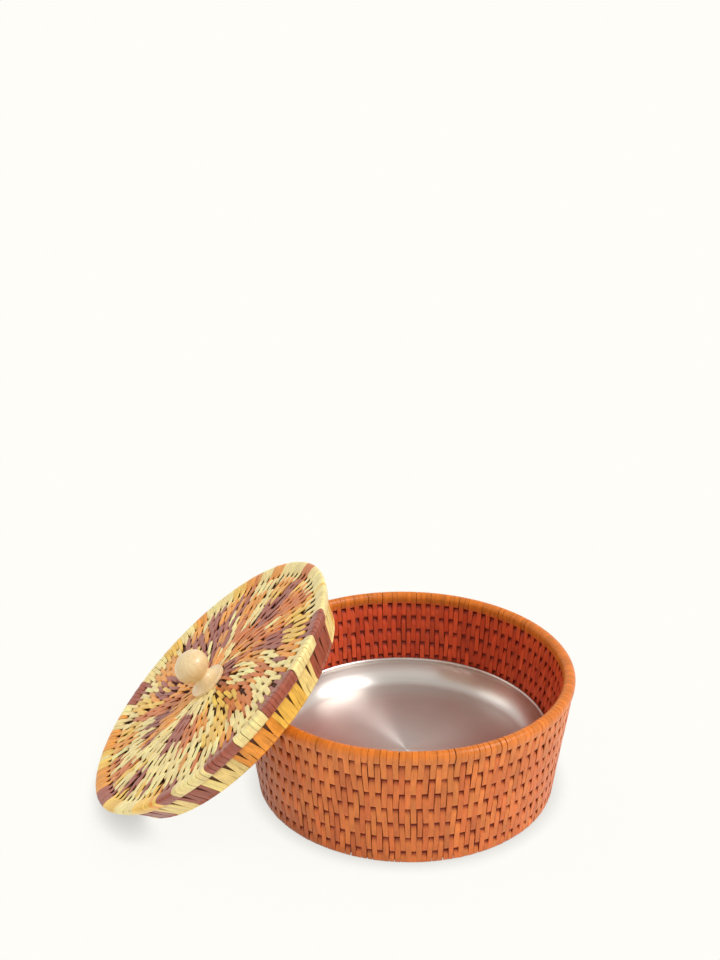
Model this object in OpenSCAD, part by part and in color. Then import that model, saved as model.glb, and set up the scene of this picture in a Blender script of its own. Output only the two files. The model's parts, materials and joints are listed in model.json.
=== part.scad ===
// Round woven basket with a loose steel dish inside and a loose woven lid.
// The lid stands beside the basket and leans on its rim, as in the photograph.
// Millimetres, +Z up. The origin is the middle of the basket's underside, on the floor.

/* [Basket] */
// Outer radius of the basket at its rim
rim_r = 117.5; // [95:0.5:150]
// Outer radius of the basket at the floor
foot_r = 105.6; // [90:0.1:130]
// Height of the basket from the floor to the top of its rim
basket_h = 89.3; // [70:0.1:130]
// Thickness of the woven skins on both sides of the wall and base
skin_t = 1.4; // [0.8:0.1:2]
// Thickness of the flat cane hoops between the wall's two skins
hoop_t = 4.1; // [3:0.1:6]
// Height of the lowest hoop, at the basket's heel
heel_h = 7.4; // [5:0.1:12]
// Radius of the round section of the wrapped rim
roll_r = 4.3; // [3.5:0.1:6]
// Thickness of the strip that is wound around the rim's hoop
wrap_t = 0.9; // [0.6:0.1:1.5]
// Height of the cane rings inside the base
base_ring_t = 3.6; // [2:0.1:6]
// Width of one cane ring inside the base
base_ring_w = 9.2; // [6:0.1:14]

/* [Steel dish] */
// Height of the dish's rim above the floor
dish_rim_z = 37; // [30:0.5:45]
// Depth of the dish from its rim to the underside of its floor
dish_depth = 17.5; // [10:0.5:20]
// Radius of the flat floor of the dish
dish_flat_r = 86; // [70:0.5:88]
// Thickness of the dish's sheet steel
dish_t = 0.8; // [0.6:0.1:1.5]
// Radius of the bead rolled along the dish's rim
bead_r = 1.3; // [1:0.1:2]

/* [Lid] */
// Outer radius of the lid at the top of its rim, measured to the unrounded edge
lid_r = 110.2; // [104:0.2:118]
// Height of the lid's wrapped rim
lid_rim_h = 10; // [7:0.2:14]
// Width of the rim, across its section
lid_rim_w = 9; // [7:0.2:14]
// How much smaller the rim's outer radius is at its lower edge than at its top
lid_rim_draft = 5.2; // [0:0.2:7]
// Rounding of the rim's edges
lid_rim_round = 2.2; // [2:0.1:3]
// Height of the cane rings inside the lid's flat field
lid_ring_t = 6.3; // [4:0.1:8]
// Width of one cane ring inside the lid
lid_ring_w = 10; // [7:0.1:14]
// How far the middle of the rings lies below half the height of the rim
field_drop = 1.7; // [0:0.1:3]
// Thickness of the strips that cover the lid's top
cover_t = 1.5; // [1:0.1:2.2]

/* [Lid collar] */
// Outer radius of the collar at its lower edge
collar_r = 94; // [88:0.5:99]
// How far the top of the collar's outside lies inside the lower edge of the lid's rim
collar_inset = 1; // [0.5:0.1:3]
// Length of the collar below the lid's rim
collar_h = 17.7; // [10:0.1:30]
// Thickness of the collar's inner hoop
collar_hoop_t = 2.2; // [1:0.1:4]

/* [Knob] */
// Diameter of the knob's ball
knob_d = 25; // [18:0.5:32]
// Height of the knob above the lid's cover
knob_h = 28; // [22:0.5:36]
// Diameter of the knob's flared foot
knob_foot_d = 28; // [20:0.5:34]
// Diameter of the knob's neck
knob_neck_d = 13.5; // [10:0.5:18]
// Diameter of the screw that holds the knob
screw_d = 4; // [3:0.5:6]
// Depth of the screw's hole in the knob
screw_grip = 14; // [8:1:18]

/* [Weave rows] */
// Number of rows of stitches between the knob and the lid's rim
lid_rows = 9; // [6:1:12]
// Depth of the groove between two rows of stitches
groove_d = 0.7; // [0.3:0.1:1]
// Width of that groove
groove_w = 2.4; // [1:0.1:4]

/* [Lean and fit] */
// Angle between the leaning lid and the floor
lean = 41.7; // [38:0.1:50]
// Direction towards which the leaning lid rises, turned from +X
lean_dir = 5.2; // [-30:0.2:30]
// Gap between round faces of pieces in one assembly
fit_gap = 0.15; // [0.1:0.05:0.3]
// Gap between the basket and the loose pieces that rest on it
rest_gap = 0.35; // [0.2:0.05:0.6]

/* [Hidden] */
$fn = 96;
hoop_count = 7;

arc_steps = 6;

// Basket wall: a straight cone of two skins with the hoops between them
taper = (rim_r - foot_r) / basket_h;
wall_t = 2 * skin_t + 2 * fit_gap + hoop_t;
roll_c = rim_r - roll_r;
roll_z = basket_h - roll_r;
hoop_top = roll_z - roll_r - fit_gap;
hoop_pitch = (hoop_top - skin_t - heel_h) / (hoop_count - 1);
seat_off = max(0, min(outer_r(hoop_top) - skin_t - roll_c, roll_c - inner_r(hoop_top) - skin_t));
wall_top = roll_z - sqrt(pow(roll_r + fit_gap, 2) - pow(min(seat_off, roll_r), 2));
hoop_round = 1.2;
row_z = [for (i = [1:hoop_count - 1]) skin_t + heel_h + (i - 1) * hoop_pitch];

// Base: rings between an outer skin and a lining
base_ring_in = 2;
base_ring_out = inner_r(skin_t) - fit_gap;
base_ring_count = floor((base_ring_out - base_ring_in) / base_ring_w);
base_ring_pitch = (base_ring_out - base_ring_in) / base_ring_count;

// Dish: it wedges where its bead meets the tapering wall
dish_rim_r = inner_r(dish_rim_z - bead_r) - rest_gap;
dish_side_w = dish_rim_r - bead_r - dish_flat_r;
dish_arc_end = 84;

// Lid: heights in its own frame, counted from half the height of its rim
lid_rim_half = lid_rim_h / 2;
lid_rim_slope = lid_rim_draft / lid_rim_h;
lid_low_r = lid_r - lid_rim_draft;
ring_low = -field_drop - lid_ring_t / 2;
ring_high = -field_drop + lid_ring_t / 2;
under_z = ring_low - skin_t;
cover_z = ring_high + cover_t;
ring_in = screw_d / 2 + 0.6;
ring_out = lid_rim_in(ring_low) - fit_gap;
ring_count = floor((ring_out - ring_in) / lid_ring_w);
ring_pitch = (ring_out - ring_in) / ring_count;
lining_r = lid_rim_in(under_z) - 2 * fit_gap;
cover_r = lid_rim_in(ring_high) - 2 * fit_gap;
row_in = knob_foot_d / 2;
row_pitch = (cover_r - row_in) / lid_rows;
collar_low = -lid_rim_half - collar_h;
collar_high = -lid_rim_half - fit_gap;
collar_top_r = lid_low_r - collar_inset;
collar_t = 2 * skin_t + 2 * fit_gap + collar_hoop_t;
edge_r = collar_t / 2;
edge_z = collar_low + edge_r;
edge_c = collar_at(edge_z) - edge_r;
collar_end = edge_z + edge_r + fit_gap;

// Screw and washer: the washer lies in a hole of the lining and presses on the innermost ring
screw_r = screw_d / 2;
head_r = screw_d * 0.95;
head_h = screw_d * 0.35;
washer_r = screw_d * 1.7;
washer_t = 1;
screw_low = ring_low - washer_t;

// Where the lid stands: its collar on the floor, its underside on the basket's rim
lid_z = edge_c * sin(lean) - edge_z * cos(lean) + edge_r;
lid_x = -roll_c - ((roll_z - lid_z) * cos(lean) + roll_r + rest_gap - under_z) / sin(lean);

// Outer and inner radius of the basket's wall at height z
function outer_r(z) = foot_r + taper * z;
function inner_r(z) = outer_r(z) - wall_t;
// Inner radius of the lid's rim at height z above its middle
function lid_rim_in(z) = lid_low_r - lid_rim_w + lid_rim_slope * (z + lid_rim_half);
// Outer radius of the collar at height z in the lid's frame
function collar_at(z) = collar_r + (collar_top_r - collar_r) * (z - collar_low) / collar_h;
// Points of a circular arc
function arc(cx, cz, r, from, to) =
    [for (i = [0:arc_steps]) let (t = from + (to - from) * i / arc_steps) [cx + r * cos(t), cz + r * sin(t)]];
// Outline of a box section with rounded corners, pushed outwards by slope per unit of height
function soft_box(r0, r1, z0, z1, slope, round) = [
    for (p = concat(
        arc(r1 - round, z0 + round, round, -90, 0),
        arc(r1 - round, z1 - round, round, 0, 90),
        arc(r0 + round, z1 - round, round, 90, 180),
        arc(r0 + round, z0 + round, round, 180, 270)))
    [p[0] + slope * (p[1] - z0), p[1]]];

// Section of the lid's rim, drawn in by inset on all sides
function lid_rim_section(inset) = let (shift = lid_rim_slope * inset)
    soft_box(lid_low_r - lid_rim_w + inset + shift, lid_low_r - inset + shift,
        -lid_rim_half + inset, lid_rim_half - inset, lid_rim_slope, lid_rim_round - inset);

// Carries the lid's own frame to where the lid stands
module lid_place() {
    rotate([0, 0, lean_dir]) translate([lid_x, 0, lid_z]) rotate([0, -lean, 0]) children();
}

// A skin of the basket's wall. Its face lies inset from the outside and has a groove along each row of
// stitches; out is 1 where it faces outwards and -1 where it faces inwards.
module wall_skin(inset, out) {
    rotate_extrude()
        polygon(concat(
            [for (z = [wall_top, skin_t]) [outer_r(z) - inset - out * skin_t, z]],
            [[outer_r(skin_t) - inset, skin_t]],
            [for (z = row_z, side = [-1:1]) let (h = z + side * groove_w / 2)
                [outer_r(h) - inset - out * groove_d * (1 - abs(side)), h]],
            [[outer_r(wall_top) - inset, wall_top]]));
}

// A band that follows the collar's cone, inset from its outside
module collar_band(z0, z1, inset, t) {
    rotate_extrude()
        polygon([
            [collar_at(z0) - inset - t, z0], [collar_at(z0) - inset, z0],
            [collar_at(z1) - inset, z1], [collar_at(z1) - inset - t, z1]]);
}

// Concentric cane rings side by side
module rings(r0, pitch, count, z0, height) {
    for (i = [0:count - 1])
        rotate_extrude()
            polygon(soft_box(r0 + i * pitch, r0 + (i + 1) * pitch - fit_gap, z0, z0 + height, 0, hoop_round));
}

module base_weave() {
    color("peru")
        rotate_extrude()
            polygon(concat([[0, 0]], arc(foot_r - skin_t, skin_t, skin_t, -90, 0), [[0, skin_t]]));
}

module base_cane_rings() {
    color("burlywood") rings(base_ring_in, base_ring_pitch, base_ring_count, skin_t, base_ring_t);
}

module base_lining() {
    z0 = skin_t + base_ring_t;
    color("sienna") translate([0, 0, z0]) cylinder(h = skin_t, r = inner_r(z0) - fit_gap);
}

module wall_weave_outer() {
    color("chocolate") wall_skin(0, 1);
}

module wall_weave_inner() {
    color("orangered") wall_skin(wall_t, -1);
}

module wall_hoop(i) {
    z0 = i == 1 ? skin_t : skin_t + heel_h + (i - 2) * hoop_pitch;
    h = i == 1 ? heel_h : hoop_pitch;
    r1 = outer_r(z0) - skin_t - fit_gap;
    color("burlywood")
        rotate_extrude()
            polygon(soft_box(r1 - hoop_t, r1, z0, z0 + h - fit_gap, taper, hoop_round));
}

module rim_hoop() {
    color("burlywood")
        rotate_extrude() translate([roll_c, roll_z]) circle(r = roll_r - wrap_t - fit_gap);
}

module rim_wrap() {
    color("darkorange")
        rotate_extrude() translate([roll_c, roll_z])
            difference() {
                circle(r = roll_r);
                circle(r = roll_r - wrap_t);
            }
}

module steel_dish() {
    floor_z = dish_rim_z - dish_depth;
    side_h = dish_depth / (1 - cos(dish_arc_end));
    side_w = dish_side_w / sin(dish_arc_end);
    steps = 4 * arc_steps;
    color("silver")
        rotate_extrude()
            union() {
                polygon(concat(
                    [[0, floor_z]],
                    [for (i = [0:steps]) let (t = dish_arc_end * i / steps)
                        [dish_flat_r + side_w * sin(t), floor_z + side_h * (1 - cos(t))]],
                    [for (i = [steps:-1:0]) let (t = dish_arc_end * i / steps)
                        [dish_flat_r + (side_w - dish_t) * sin(t), floor_z + side_h - (side_h - dish_t) * cos(t)]],
                    [[0, floor_z + dish_t]]));
                translate([dish_rim_r - bead_r, dish_rim_z]) circle(r = bead_r);
            }
}

module lid_cane_rings() {
    color("burlywood") lid_place() rings(ring_in, ring_pitch, ring_count, ring_low, lid_ring_t);
}

module lid_top_weave() {
    color("khaki")
        lid_place()
            rotate_extrude()
                polygon(concat(
                    [[cover_r, cover_z], [cover_r, ring_high], [ring_in, ring_high], [ring_in, cover_z]],
                    [for (i = [1:lid_rows - 1], side = [-1:1])
                        [row_in + i * row_pitch + side * groove_w / 2, cover_z - groove_d * (1 - abs(side))]]));
}

module lid_lining() {
    color("wheat")
        lid_place()
            translate([0, 0, under_z])
                difference() {
                    cylinder(h = skin_t, r = lining_r);
                    translate([0, 0, -1]) cylinder(h = skin_t + 2, r = washer_r + fit_gap);
                }
}

module lid_rim_hoop() {
    color("burlywood")
        lid_place()
            rotate_extrude() polygon(lid_rim_section(cover_t + fit_gap));
}

module lid_rim_wrap() {
    color("gold")
        lid_place()
            rotate_extrude()
                difference() {
                    polygon(lid_rim_section(0));
                    polygon(lid_rim_section(cover_t));
                }
}

module lid_collar_hoop() {
    color("burlywood") lid_place() collar_band(collar_end, collar_high, skin_t + fit_gap, collar_hoop_t);
}

module lid_collar_weave() {
    color("goldenrod") lid_place() collar_band(collar_end, collar_high, 0, skin_t);
}

module lid_collar_lining() {
    color("wheat") lid_place() collar_band(collar_end, collar_high, collar_t - skin_t, skin_t);
}

module lid_collar_edge() {
    color("goldenrod") lid_place() rotate_extrude() translate([edge_c, edge_z]) circle(r = edge_r);
}

module knob() {
    ball_r = knob_d / 2;
    ball_h = ball_r * 0.84;
    ball_z = knob_h - ball_h;
    foot_r2 = knob_foot_d / 2;
    neck_r = knob_neck_d / 2;
    foot_h = knob_h * 0.09;
    neck_z = ball_z - ball_h * cos(asin(neck_r / ball_r));
    steps = 3 * arc_steps;
    color("blanchedalmond")
        lid_place()
            translate([0, 0, cover_z])
                difference() {
                    rotate_extrude()
                        polygon(concat(
                            [[0, 0], [foot_r2, 0]],
                            [[foot_r2, foot_h]],
                            [for (i = [1:steps]) let (t = 90 * i / steps)
                                [foot_r2 - (foot_r2 - neck_r) * sin(t), neck_z - (neck_z - foot_h) * cos(t)]],
                            [for (i = [1:steps]) let (t0 = asin(neck_r / ball_r), t = t0 + (180 - t0) * i / steps)
                                [i == steps ? 0 : ball_r * sin(t), ball_z - ball_h * cos(t)]]));
                    translate([0, 0, -1]) cylinder(h = screw_grip + 1, r = screw_r + fit_gap);
                }
}

module knob_screw() {
    color("lightsteelblue")
        lid_place() {
            translate([0, 0, screw_low - head_h])
                cylinder(h = cover_z + screw_grip - 1 - screw_low + head_h, r = screw_r);
            translate([0, 0, screw_low - head_h]) cylinder(h = head_h, r = head_r);
        }
}

module knob_washer() {
    color("silver")
        lid_place()
            translate([0, 0, screw_low])
                difference() {
                    cylinder(h = washer_t, r = washer_r);
                    translate([0, 0, -1]) cylinder(h = washer_t + 2, r = screw_r + fit_gap);
                }
}

base_weave();
base_cane_rings();
base_lining();
wall_weave_outer();
wall_weave_inner();
for (i = [1:hoop_count])
    wall_hoop(i);
rim_hoop();
rim_wrap();
steel_dish();
lid_cane_rings();
lid_top_weave();
lid_lining();
lid_rim_hoop();
lid_rim_wrap();
lid_collar_hoop();
lid_collar_weave();
lid_collar_lining();
lid_collar_edge();
knob();
knob_screw();
knob_washer();
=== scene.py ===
import bpy
import json
import math
import numpy as np
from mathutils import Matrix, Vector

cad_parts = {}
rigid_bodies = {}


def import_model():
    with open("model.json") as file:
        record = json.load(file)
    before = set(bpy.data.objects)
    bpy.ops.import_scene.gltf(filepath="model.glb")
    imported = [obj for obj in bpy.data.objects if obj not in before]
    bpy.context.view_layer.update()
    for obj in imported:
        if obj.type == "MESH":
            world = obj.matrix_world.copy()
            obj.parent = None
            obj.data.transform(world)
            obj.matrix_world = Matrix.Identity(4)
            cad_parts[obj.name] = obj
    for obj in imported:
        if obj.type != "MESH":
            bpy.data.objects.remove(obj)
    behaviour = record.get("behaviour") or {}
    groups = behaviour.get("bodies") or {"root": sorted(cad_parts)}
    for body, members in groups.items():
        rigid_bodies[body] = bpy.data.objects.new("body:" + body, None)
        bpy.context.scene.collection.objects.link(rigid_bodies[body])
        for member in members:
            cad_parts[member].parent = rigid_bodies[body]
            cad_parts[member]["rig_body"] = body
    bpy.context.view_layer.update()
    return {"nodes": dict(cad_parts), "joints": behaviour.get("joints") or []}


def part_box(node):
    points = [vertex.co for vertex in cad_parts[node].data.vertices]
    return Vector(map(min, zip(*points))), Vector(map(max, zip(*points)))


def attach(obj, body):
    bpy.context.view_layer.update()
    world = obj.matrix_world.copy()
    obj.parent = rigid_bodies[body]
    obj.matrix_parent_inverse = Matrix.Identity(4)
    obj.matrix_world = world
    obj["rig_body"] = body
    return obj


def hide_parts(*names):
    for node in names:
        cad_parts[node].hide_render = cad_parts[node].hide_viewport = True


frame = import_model()
mm = 0.001
print("frame loaded")


# sRGB hex to linear: ((c + 0.055) / 1.055) ^ 2.4, or c / 12.92 near black
def toLinear(hexText):
    channels = [int(hexText[i:i + 2], 16) / 255 for i in (1, 3, 5)]
    return tuple(((c + 0.055) / 1.055) ** 2.4 if c > 0.04045 else c / 12.92 for c in channels)


# sets input values of a node and links sockets into it
def fillNode(tree, node, values, links):
    for key, value in (values or {}).items():
        node.inputs[key].default_value = value
    for key, socket in (links or {}).items():
        tree.links.new(socket, node.inputs[key])


# adds one shader node and sets its attributes, input values and links
def addNode(tree, kind, attributes=None, values=None, links=None):
    node = tree.nodes.new("ShaderNode" + kind)
    for key, value in (attributes or {}).items():
        setattr(node, key, value)
    fillNode(tree, node, values, links)
    return node


# noise read at the coordinates times stretch
def stretchedNoise(tree, place, stretch, values):
    scaled = addNode(tree, "VectorMath", {"operation": "MULTIPLY"}, {1: stretch}, {0: place})
    return addNode(tree, "TexNoise", None, {"Scale": 1.0, **values},
                   {"Vector": scaled.outputs["Vector"]}).outputs["Fac"]


# a socket's values mapped from one span to another
def mapSpan(tree, socket, source, target, attributes=None):
    spans = {"From Min": source[0], "From Max": source[1], "To Min": target[0], "To Max": target[1]}
    return addNode(tree, "MapRange", attributes, spans, {"Value": socket}).outputs["Result"]


# one sum on two sockets or numbers, such as MULTIPLY or MAXIMUM
def reckon(tree, operation, first, second):
    inputs = {0: first, 1: second}
    numbers = {key: value for key, value in inputs.items() if isinstance(value, float)}
    sockets = {key: value for key, value in inputs.items() if key not in numbers}
    return addNode(tree, "Math", {"operation": operation}, numbers, sockets).outputs["Value"]


# 1 for the rays that see the studio as it is: the camera's, and those mirrored or let through
def seenDirectly(tree):
    paths = addNode(tree, "LightPath").outputs
    sharp = reckon(tree, "MAXIMUM", paths["Is Glossy Ray"], paths["Is Transmission Ray"])
    return reckon(tree, "MAXIMUM", paths["Is Camera Ray"], sharp)


# two colours mixed by a factor
def mixColours(tree, factor, first, second):
    return addNode(tree, "Mix", {"data_type": "RGBA"}, {"A": (*first, 1), "B": (*second, 1)},
                   {"Factor": factor}).outputs["Result"]


# an empty material with its output and one Principled shader
def newMaterial(name):
    material = bpy.data.materials.new(name)
    material.use_nodes = True
    tree = material.node_tree
    tree.nodes.clear()
    shader = addNode(tree, "BsdfPrincipled")
    addNode(tree, "OutputMaterial", links={"Surface": shader.outputs["BSDF"]})
    return material, tree, shader


# a mesh object from points (n, 3) in millimetres, which place can move, and faces as loops and their sizes
def meshObject(name, points, loops, sizes, material, place=None):
    if place is not None:
        points = place(points)
    mesh = bpy.data.meshes.new(name)
    mesh.vertices.add(len(points))
    mesh.vertices.foreach_set("co", (points * mm).astype(np.float32).ravel())
    mesh.loops.add(len(loops))
    mesh.loops.foreach_set("vertex_index", loops.astype(np.int32))
    mesh.polygons.add(len(sizes))
    starts = np.concatenate([[0], np.cumsum(sizes)[:-1]])
    mesh.polygons.foreach_set("loop_start", starts.astype(np.int32))
    mesh.polygons.foreach_set("loop_total", np.asarray(sizes, np.int32))
    mesh.polygons.foreach_set("use_smooth", np.ones(len(sizes), bool))
    mesh.update(calc_edges=True)
    mesh.validate()
    mesh.materials.append(material)
    piece = bpy.data.objects.new(name, mesh)
    bpy.context.scene.collection.objects.link(piece)
    return piece


# stores one value per vertex under a name that a material can read
def pointAttribute(piece, name, kind, values):
    attribute = piece.data.attributes.new(name, kind, "POINT")
    key = {"FLOAT": "value", "FLOAT_VECTOR": "vector", "FLOAT_COLOR": "color"}[kind]
    attribute.data.foreach_set(key, np.asarray(values, np.float32).ravel())


# smooth step: 3t^2 - 2t^3 between 0 and 1
def smooth(t):
    t = np.clip(t, 0, 1)
    return t * t * (3 - 2 * t)


# evenly spaced angles round a circle, the first of them half a step from +X
def evenAngles(count):
    return 2 * math.pi * (np.arange(count) + 0.5) / count


# points at radius r, angle t and height z
def pointsAt(r, t, z):
    return np.stack([r * np.cos(t), r * np.sin(t), z], -1)


# rises smoothly from 0 to 1 over a length that ends at end, and is flat in its last part
def rising(x, end, length, flat=0.2):
    return smooth((x - (end - length)) / (length - flat))


# unit vectors
def unit(v):
    return v / np.linalg.norm(v, axis=-1, keepdims=True)


# groups of strips put together, value by value
def joined(parts):
    return (np.concatenate([part[key] for part in parts]) for key in parts[0])


# lowest and highest corner of a node's box in millimetres
def boxMm(node):
    low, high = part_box(node)
    return np.array(low) / mm, np.array(high) / mm


rimLow, rimHigh = boxMm("rim_wrap")
outHigh = boxMm("wall_weave_outer")[1]
inHigh = boxMm("wall_weave_inner")[1]
baseHigh = boxMm("base_weave")[1]
floorTop = boxMm("base_lining")[1][2]         # the basket's floor, on which the dish stands
hoopTops = [boxMm(f"wall_hoop_{i}")[1][2] for i in range(1, 8)]

rollR = (rimHigh[2] - rimLow[2]) / 2          # the rim's round section
rollC = rimHigh[0] - rollR                    # radius of the rim's centre line
rollZ = rimHigh[2] - rollR
skinT = baseHigh[2]                           # thickness of a woven skin
taper = (outHigh[0] - baseHigh[0]) / (outHigh[2] - skinT)
footR = baseHigh[0] - taper * skinT           # the wall's cone carried down to the floor
wallT = outHigh[0] - inHigh[0] + skinT


# the wall's cones: r = foot + taper z outside, and the wall's thickness less inside
def outerR(z):
    return footR + taper * z


def innerR(z):
    return outerR(z) - wallT


# the lid's own axes, rise, across and up, from its joint: it leans by the joint's whole range
swing = [joint for joint in frame["joints"] if joint["name"] == "lid_swing"][0]
lean = math.radians(swing["range_deg"][1])
turn = math.atan2(-swing["axis"][0], swing["axis"][1])
lidUp = np.array([-math.sin(lean), 0, math.cos(lean)])
lidRise = np.array([math.cos(lean), 0, math.sin(lean)])
turnMatrix = np.array([
    [math.cos(turn), -math.sin(turn), 0],
    [math.sin(turn), math.cos(turn), 0],
    [0, 0, 1]])
lidAxes = turnMatrix @ np.stack([lidRise, [0, 1, 0], lidUp], axis=1)


# corners of a node in millimetres
def nodePoints(node):
    mesh = frame["nodes"][node].data
    flat = np.empty(len(mesh.vertices) * 3)
    mesh.vertices.foreach_get("co", flat)
    return flat.reshape(-1, 3) / mm


# the middle of the lid's rim is the middle of its extent along the lid's own axes
rimTurned = nodePoints("lid_rim_wrap") @ lidAxes
lidCentre = lidAxes @ ((rimTurned.min(axis=0) + rimTurned.max(axis=0)) / 2)


# from the lid's frame to the part's: p = axes q + centre
def toWorld(points):
    return points @ lidAxes.T + lidCentre


# radius and height of a node's corners in the lid's own frame
def lidProfile(node):
    q = (nodePoints(node) - lidCentre) @ lidAxes
    return np.hypot(q[:, 0], q[:, 1]), q[:, 2]


# the rim's slanted side is the longest stretch of its outside without corners
rimR, rimZ = lidProfile("lid_rim_wrap")
lidR, rimHalf = rimR.max(), rimZ.max()
outerSide = rimR > (rimR.min() + lidR) / 2
order = np.argsort(rimZ[outerSide])
sideR, sideZ = rimR[outerSide][order], rimZ[outerSide][order]
k = np.argmax(np.diff(sideZ))
sideSlope = (sideR[k + 1] - sideR[k]) / (sideZ[k + 1] - sideZ[k])
lowR = sideR[k] - sideSlope * (sideZ[k] + rimHalf)
print("sizes read: lid", round(lidR, 2), "rim half", round(rimHalf, 2), "wall", round(wallT, 2))


# Cross-section of a strip, across and up, as shares of its half width and half thickness:
# a flat back, bevelled edges and a low crown. The shading breaks along every corner but the crown's.
sectionAcross = np.array([-1.0, -0.92, 0.0, 0.92, 1.0, 0.92, -0.92])
sectionUp = np.array([0.25, 0.88, 1.0, 0.88, 0.25, -1.0, -1.0])
crownCorner = 2


# All strips of one piece: p(s, k, j) = centre + side w a_j + up h b_j, for strips s, rings k and section
# points j. Each point keeps its place on the strip, the strip's colour and the painted shade where it tucks
# under.
def stripPiece(name, centre, side, up, halfW, halfT, colour, tuckShade, material, seed, place=None):
    count, rings = centre.shape[:2]
    cross = len(sectionAcross)
    points = (centre[:, :, None, :]
              + side[:, :, None, :] * (halfW[:, :, None] * sectionAcross)[..., None]
              + up[:, :, None, :] * (halfT[:, :, None] * sectionUp)[..., None])
    base = np.arange(count)[:, None, None] * rings * cross
    k = np.arange(rings - 1)[None, :, None] * cross
    j = np.arange(cross)[None, None, :]
    nxt = (j + 1) % cross
    quads = np.stack([base + k + j, base + k + nxt, base + k + cross + nxt, base + k + cross + j], axis=-1)
    startCap = base[:, 0] + np.arange(cross)
    endCap = startCap + (rings - 1) * cross
    along = centre[0, 1] - centre[0, 0]
    if np.dot(np.cross(side[0, 0], up[0, 0]), along) < 0:   # the section runs clockwise, seen along the strip
        startCap = startCap[:, ::-1]
    else:
        quads = quads[..., ::-1]
        endCap = endCap[:, ::-1]
    loops = np.concatenate([quads.ravel(), startCap.ravel(), endCap.ravel()])
    sizes = np.concatenate([np.full(quads.size // 4, 4), np.full(2 * count, cross)])
    piece = meshObject(name, points.reshape(-1, 3), loops, sizes, material, place)
    ends = np.empty(2 * len(piece.data.edges), dtype=np.int32)
    piece.data.edges.foreach_get("vertices", ends)
    corner = ends.reshape(-1, 2) % cross
    sharp = (corner[:, 0] == corner[:, 1]) & (corner[:, 0] != crownCorner)
    piece.data.attributes.new("sharp_edge", "BOOLEAN", "EDGE").data.foreach_set("value", sharp)
    rng = np.random.default_rng(seed)
    step = np.linalg.norm(np.diff(centre, axis=1), axis=-1)
    run = np.concatenate([np.zeros((count, 1)), np.cumsum(step, axis=1)], axis=1)
    where = np.zeros((count, rings, cross, 3))
    where[..., 0] = halfW[:, :, None] * sectionAcross
    where[..., 1] = run[:, :, None]
    where[..., 2] = rng.random(count)[:, None, None]
    pointAttribute(piece, "stripPos", "FLOAT_VECTOR", where)
    full = np.ones((count, rings, cross, 4))
    full[..., :3] = colour[:, None, None, :] if colour.ndim == 2 else colour[:, :, None, :]
    pointAttribute(piece, "stripColour", "FLOAT_COLOR", full)
    pointAttribute(piece, "tuckShade", "FLOAT", np.repeat(tuckShade[:, :, None], cross, axis=2))
    return piece


# colour of each strip: base times a random brightness, with a little of a second tone mixed in
def strayColours(rng, count, base, other, light=0.10, mix=0.35):
    base = np.array(toLinear(base))
    other = np.array(toLinear(other))
    share = rng.random(count)[:, None] * mix
    bright = np.exp(rng.normal(0, light, count))[:, None]
    return np.clip((base * (1 - share) + other * share) * bright, 0, 1)


noiseSpan = (0.3, 0.7)   # between these values lies nearly all of a noise


# Split rattan peel, dyed and varnished: long fine fibres, a satin shine, and painted shade, darker and
# redder, where it tucks under.
def caneMaterial(name, roughness, coat, fibreDepth):
    material, tree, shader = newMaterial(name)
    colour, place, tuckShade = (addNode(tree, "Attribute", {"attribute_name": key}).outputs
                           for key in ("stripColour", "stripPos", "tuckShade"))
    # fibres: 0.35 mm across and about 9 mm long; the third axis gives each strip its own pattern
    fibre = stretchedNoise(tree, place["Vector"], (2.8, 0.11, 57.0), {"Detail": 3.0, "Roughness": 0.6})
    # dye clouds: weak patches, 4 mm across and 11 mm long
    cloud = stretchedNoise(tree, place["Vector"], (0.25, 0.09, 91.0), {"Detail": 2.0})
    tone = reckon(tree, "MULTIPLY", mapSpan(tree, fibre, noiseSpan, (0.80, 1.12)),
                  mapSpan(tree, cloud, noiseSpan, (0.86, 1.10)))
    toned = addNode(tree, "VectorMath", {"operation": "SCALE"},
                    links={0: colour["Color"], "Scale": tone})
    # painted shade: the colour darkens and reddens where a strip tucks under
    shadedTone = addNode(tree, "Mix", {"data_type": "RGBA", "blend_type": "MULTIPLY"},
                     {"B": (0.42, 0.17, 0.15, 1)}, {"Factor": tuckShade["Fac"], "A": toned.outputs["Vector"]})
    rough = mapSpan(tree, fibre, noiseSpan, (roughness - 0.06, roughness + 0.10))
    bump = addNode(tree, "Bump", values={"Strength": 0.35, "Distance": fibreDepth * mm},
                   links={"Height": fibre})
    fillNode(tree, shader, {"Specular IOR Level": 0.32, "Coat Weight": coat, "Coat Roughness": 0.2},
             {"Base Color": shadedTone.outputs["Result"], "Roughness": rough, "Normal": bump.outputs["Normal"]})
    return material


# Round cane under the weave, in the shade of the strips: rough, dark with dye.
def coreMaterial(name, hexText):
    material, tree, shader = newMaterial(name)
    coords = addNode(tree, "TexCoord")
    noise = addNode(tree, "TexNoise", values={"Scale": 900.0, "Detail": 3.0},
                    links={"Vector": coords.outputs["Object"]})
    light = toLinear(hexText)
    mixed = mixColours(tree, noise.outputs["Fac"], [c * 0.6 for c in light], light)
    fillNode(tree, shader, {"Roughness": 0.75}, {"Base Color": mixed})
    return material


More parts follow.
